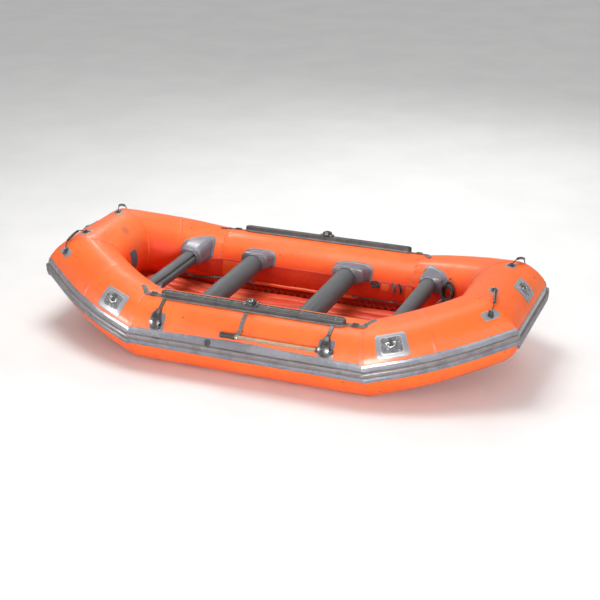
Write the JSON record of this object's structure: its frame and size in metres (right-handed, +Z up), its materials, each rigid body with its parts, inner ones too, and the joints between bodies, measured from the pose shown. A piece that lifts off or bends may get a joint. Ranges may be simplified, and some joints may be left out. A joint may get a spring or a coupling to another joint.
{
  "type": "inflatable dinghy",
  "caption": "Inflatable raft dinghy with raised blunt ends, cross thwarts, ribbed floor, rub strake, gunwale rails, stowed oars, carry handles and D-rings.",
  "frame": {"origin": "middle of the boat on the ground plane it rests on", "axes": "+X to the bow, +Y to port, +Z up"},
  "size_m": [3.9834, 2.098, 0.813],
  "materials": {
    "tube_fabric": "satin orange coated fabric",
    "floor_fabric": "satin red coated fabric",
    "thwart_fabric": "satin grey coated fabric",
    "strake_rubber": "moulded grey rubber",
    "band_fabric": "light grey coated fabric",
    "patch_fabric": "grey bonded patch",
    "rail_rubber": "dark grey moulded rubber",
    "black_rubber": "black moulded rubber",
    "webbing": "grey woven webbing",
    "steel": "stainless steel",
    "black_plastic": "black moulded plastic",
    "oar_tube": "worn coated aluminium",
    "rope": "dark braided rope"
  },
  "bodies": {
    "hull": {"bow_line_coil": "rope", "bow_tube": "tube_fabric", "carry_handle_anchors": "patch_fabric", "chafe_band": "band_fabric", "chamber_baffles": "tube_fabric", "d_ring_patches": "patch_fabric", "floor_beam_webs": "floor_fabric", "floor_bottom_skin": "floor_fabric", "floor_lacing_strips": "patch_fabric", "floor_top_skin": "floor_fabric", "gunwale_rail_port": "rail_rubber", "gunwale_rail_starboard": "rail_rubber", "oar_holder_patches": "patch_fabric", "oar_holders_port": "black_rubber", "oar_holders_starboard": "black_rubber", "oar_strap_rings": "steel", "oar_straps": "webbing", "rail_tie_buckles": "black_plastic", "rail_tie_straps": "webbing", "rowlock_saddles": "rail_rubber", "rowlock_sleeves": "steel", "rub_strake_bow": "strake_rubber", "rub_strake_port": "strake_rubber", "rub_strake_starboard": "strake_rubber", "rub_strake_stern": "strake_rubber", "side_tube_port": "tube_fabric", "side_tube_starboard": "tube_fabric", "stern_tube": "tube_fabric", "thwart_1": "thwart_fabric", "thwart_2": "thwart_fabric", "thwart_3": "thwart_fabric", "thwart_4": "thwart_fabric", "thwart_collars_port": "patch_fabric", "thwart_collars_starboard": "patch_fabric", "valve_bodies": "black_plastic", "valve_spring_port": "steel", "valve_spring_starboard": "steel"},
    "rowlock_port": {"rowlock_knob_port": "black_rubber"},
    "rowlock_starboard": {"rowlock_knob_starboard": "black_rubber"},
    "oar_port": {"oar_shaft_port": "oar_tube", "oar_grip_port": "black_rubber", "oar_ferrule_port": "black_plastic"},
    "oar_starboard": {"oar_shaft_starboard": "oar_tube", "oar_grip_starboard": "black_rubber", "oar_ferrule_starboard": "black_plastic"},
    "valve_button_port": {"valve_poppet_port": "black_plastic"},
    "valve_button_starboard": {"valve_poppet_starboard": "black_plastic"},
    "valve_lid_port": {"valve_cap_port": "black_plastic"},
    "valve_lid_starboard": {"valve_cap_starboard": "black_plastic"},
    "ring_bow_port": {"d_ring_bow_port": "steel"},
    "ring_bow_starboard": {"d_ring_bow_starboard": "steel"},
    "ring_stern_port": {"d_ring_stern_port": "steel"},
    "ring_stern_starboard": {"d_ring_stern_starboard": "steel"},
    "ring_bow": {"d_ring_bow": "steel"},
    "ring_stern": {"d_ring_stern": "steel"},
    "handle_bow_port": {"carry_handle_bow_port": "black_rubber"},
    "handle_bow_starboard": {"carry_handle_bow_starboard": "black_rubber"},
    "handle_stern_port": {"carry_handle_stern_port": "black_rubber"},
    "handle_stern_starboard": {"carry_handle_stern_starboard": "black_rubber"}
  },
  "joints": [
    {"name": "rowlock_turn_port", "type": "hinge", "parent": "hull", "child": "rowlock_port", "pos_m": [0, 0.81871, 0.61326], "axis": [0, 0.225, 0.9744], "continuous": true},
    {"name": "rowlock_turn_starboard", "type": "hinge", "parent": "hull", "child": "rowlock_starboard", "pos_m": [0, -0.81871, 0.61326], "axis": [0, -0.225, 0.9744], "continuous": true},
    {"name": "oar_slide_port", "type": "slide", "parent": "hull", "child": "oar_port", "axis": [-1, 0, 0], "range_m": [0, 0.13]},
    {"name": "oar_slide_starboard", "type": "slide", "parent": "hull", "child": "oar_starboard", "axis": [-1, 0, 0], "range_m": [0, 0.13]},
    {"name": "ring_swing_bow_port", "type": "hinge", "parent": "hull", "child": "ring_bow_port", "pos_m": [1.13436, 0.90115, 0.51397], "axis": [0.9147, -0.336, 0.2244], "range_deg": [0, 165]},
    {"name": "ring_swing_bow_starboard", "type": "hinge", "parent": "hull", "child": "ring_bow_starboard", "pos_m": [1.13436, -0.90115, 0.51397], "axis": [-0.9147, -0.336, -0.2244], "range_deg": [0, 165]},
    {"name": "ring_swing_stern_port", "type": "hinge", "parent": "hull", "child": "ring_stern_port", "pos_m": [-1.13436, 0.90115, 0.51397], "axis": [0.9147, 0.336, -0.2244], "range_deg": [0, 165]},
    {"name": "ring_swing_stern_starboard", "type": "hinge", "parent": "hull", "child": "ring_stern_starboard", "pos_m": [-1.13436, -0.90115, 0.51397], "axis": [-0.9147, 0.336, 0.2244], "range_deg": [0, 165]},
    {"name": "ring_swing_bow", "type": "hinge", "parent": "hull", "child": "ring_bow", "pos_m": [1.88152, 0.03, 0.70917], "axis": [0, -1, 0], "range_deg": [0, 165]},
    {"name": "ring_swing_stern", "type": "hinge", "parent": "hull", "child": "ring_stern", "pos_m": [-1.88152, 0, 0.70917], "axis": [0, 1, 0], "range_deg": [0, 165]},
    {"name": "handle_swing_bow_port", "type": "hinge", "parent": "hull", "child": "handle_bow_port", "pos_m": [1.75066, 0.40517, 0.7389], "axis": [0.1697, 0.935, -0.3113], "range_deg": [-27, 27]},
    {"name": "handle_swing_bow_starboard", "type": "hinge", "parent": "hull", "child": "handle_bow_starboard", "pos_m": [1.75066, -0.40517, 0.7389], "axis": [0.1697, -0.935, -0.3113], "range_deg": [-27, 27]},
    {"name": "handle_swing_stern_port", "type": "hinge", "parent": "hull", "child": "handle_stern_port", "pos_m": [-1.75066, 0.40517, 0.7389], "axis": [-0.1697, 0.935, -0.3113], "range_deg": [-27, 27]},
    {"name": "handle_swing_stern_starboard", "type": "hinge", "parent": "hull", "child": "handle_stern_starboard", "pos_m": [-1.75066, -0.40517, 0.7389], "axis": [-0.1697, -0.935, -0.3113], "range_deg": [-27, 27]},
    {"name": "valve_cap_turn_port", "type": "hinge", "parent": "hull", "child": "valve_lid_port", "pos_m": [-0.277, 1.01939, 0.32593], "axis": [0, 0.9871, 0.1599], "range_deg": [0, 90]},
    {"name": "valve_press_port", "type": "slide", "parent": "hull", "child": "valve_button_port", "axis": [0, -0.9871, -0.1599], "range_m": [0, 0.005], "stiffness_N_per_m": 300, "deforming": ["valve_spring_port"]},
    {"name": "valve_cap_turn_starboard", "type": "hinge", "parent": "hull", "child": "valve_lid_starboard", "pos_m": [-0.277, -1.01939, 0.32593], "axis": [0, -0.9871, 0.1599], "range_deg": [-90, 0]},
    {"name": "valve_press_starboard", "type": "slide", "parent": "hull", "child": "valve_button_starboard", "axis": [0, 0.9871, -0.1599], "range_m": [0, 0.005], "stiffness_N_per_m": 300, "deforming": ["valve_spring_starboard"]}
  ]
}
